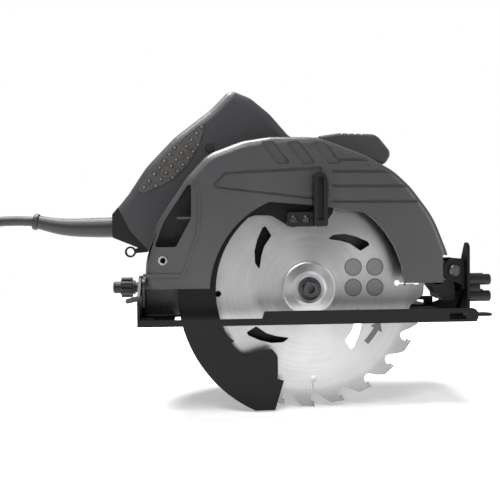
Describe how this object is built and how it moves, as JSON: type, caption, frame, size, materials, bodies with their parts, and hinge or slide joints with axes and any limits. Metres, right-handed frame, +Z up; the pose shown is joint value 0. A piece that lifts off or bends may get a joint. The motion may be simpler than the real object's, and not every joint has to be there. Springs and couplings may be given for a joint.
{
  "type": "circular saw",
  "caption": "Corded hand-held circular saw with swinging lower blade guard, rear handle with trigger, front grip, and pressed base plate with depth and bevel settings.",
  "frame": {"origin": "middle of the underside of the saw without its cord, at the height of the lowest tooth", "axes": "+X is the cutting direction, +Y runs from the blade to the motor along the spindle, +Z is up"},
  "size_m": [0.594, 0.187, 0.257],
  "materials": {
    "black_plastic": "matte",
    "black_steel": "satin black",
    "blade_steel": "brushed",
    "brass": "turned",
    "button_plastic": "satin",
    "carbide": "ground",
    "carbon": "carbon",
    "cast_grey": "fine textured paint",
    "cast_metal": "cast, satin",
    "copper": "wound",
    "cord_rubber": "matte",
    "core_steel": "laminated",
    "dark_steel": "oxidised",
    "rubber_grey": "matte",
    "shell_grey": "fine textured",
    "steel": "machined"
  },
  "bodies": {
    "housing": {"upper_guard": "cast_grey", "guard_bushing": "steel", "gear_case": "cast_metal", "motor_housing": "shell_grey", "motor_end_cap": "shell_grey", "stator_core": "core_steel", "stator_windings": "copper", "motor_bearing_front": "steel", "motor_bearing_rear": "steel", "brush_holders": "brass", "carbon_brushes": "carbon", "spindle_bearing_front": "steel", "spindle_bearing_rear": "steel", "front_bumper": "black_plastic", "handle_shell_near": "shell_grey", "handle_shell_far": "shell_grey", "switch_box": "black_plastic", "trigger_pin": "steel", "grip_pad": "rubber_grey", "front_grip": "rubber_grey", "front_grip_cap": "shell_grey", "cord_collar": "black_plastic", "key_clip": "black_plastic", "cord_sleeve": "cord_rubber", "cord_tube": "cord_rubber", "cord_coil": "cord_rubber", "cord_tie": "black_plastic", "plug_body": "cord_rubber", "plug_pins": "steel", "depth_bolt": "dark_steel"},
    "spindle": {"spindle": "steel", "drive_gear": "steel", "inner_flange": "dark_steel", "outer_flange": "steel", "blade_bolt": "dark_steel", "blade": "blade_steel", "blade_tips": "carbide"},
    "rotor": {"rotor_shaft": "steel", "rotor_core": "core_steel", "commutator": "copper", "fan": "black_plastic"},
    "lower_guard": {"lower_guard": "black_steel", "guard_lever": "black_plastic", "lever_rivets": "dark_steel"},
    "trigger": {"trigger": "black_plastic"},
    "lock_button": {"lock_button": "button_plastic"},
    "spindle_lock": {"spindle_lock": "black_plastic"},
    "depth_frame": {"front_bracket": "black_steel", "pivot_pin": "dark_steel", "depth_strap": "dark_steel", "tilt_rail": "black_steel"},
    "base": {"base_plate": "black_steel", "base_rim": "black_steel", "front_quadrant": "black_steel", "rear_quadrant": "black_steel", "fence_post": "black_steel"},
    "depth_lever": {"depth_lever": "dark_steel"},
    "front_knob": {"front_knob": "black_plastic"},
    "rear_knob": {"rear_knob": "black_plastic"},
    "fence_screw": {"fence_screw": "steel"}
  },
  "joints": [
    {"name": "blade_spin", "type": "hinge", "parent": "housing", "child": "spindle", "pos_m": [0.03654, -0.0545, 0.09489], "axis": [0, -1, 0], "continuous": true},
    {"name": "motor_spin", "type": "hinge", "parent": "housing", "child": "rotor", "pos_m": [0.03211, 0.0055, 0.12001], "axis": [0, -1, 0], "continuous": true},
    {"name": "guard_swing", "type": "hinge", "parent": "housing", "child": "lower_guard", "pos_m": [0.03654, -0.0545, 0.09489], "axis": [0, -1, 0], "range_deg": [-55, 80]},
    {"name": "trigger_pull", "type": "hinge", "parent": "housing", "child": "trigger", "pos_m": [-0.02946, -0.0135, 0.20289], "axis": [0, 1, 0], "range_deg": [0, 7], "stiffness_Nm_per_rad": 0.8},
    {"name": "lock_off_press", "type": "slide", "parent": "housing", "child": "lock_button", "axis": [0, 1, 0], "range_m": [0, 0.003], "stiffness_N_per_m": 300},
    {"name": "spindle_lock_press", "type": "slide", "parent": "housing", "child": "spindle_lock", "axis": [-1, 0, 0], "range_m": [0, 0.003], "stiffness_N_per_m": 300},
    {"name": "depth_swing", "type": "hinge", "parent": "housing", "child": "depth_frame", "pos_m": [0.15034, -0.0545, 0.10889], "axis": [0, -1, 0], "range_deg": [0, 29]},
    {"name": "bevel_tilt", "type": "hinge", "parent": "depth_frame", "child": "base", "pos_m": [0.03654, -0.0545, 0.07089], "axis": [-1, 0, 0], "range_deg": [0, 45]},
    {"name": "depth_lever_turn", "type": "hinge", "parent": "housing", "child": "depth_lever", "pos_m": [-0.04239, -0.0305, 0.09879], "axis": [0, 1, 0], "range_deg": [0, 25]},
    {"name": "front_knob_turn", "type": "hinge", "parent": "base", "child": "front_knob", "pos_m": [0.16654, -0.0545, 0.09409], "axis": [1, 0, 0], "range_deg": [-180, 180]},
    {"name": "rear_knob_turn", "type": "hinge", "parent": "depth_frame", "child": "rear_knob", "pos_m": [-0.10146, -0.0545, 0.09749], "axis": [1, 0, 0], "range_deg": [-180, 180]},
    {"name": "fence_screw_turn", "type": "hinge", "parent": "base", "child": "fence_screw", "pos_m": [0.14474, -0.0895, 0.07889], "axis": [0, 0, 1], "range_deg": [-180, 180]}
  ],
  "couplings": [
    {"joint": "motor_spin", "follows": "blade_spin", "ratio": -4}
  ]
}
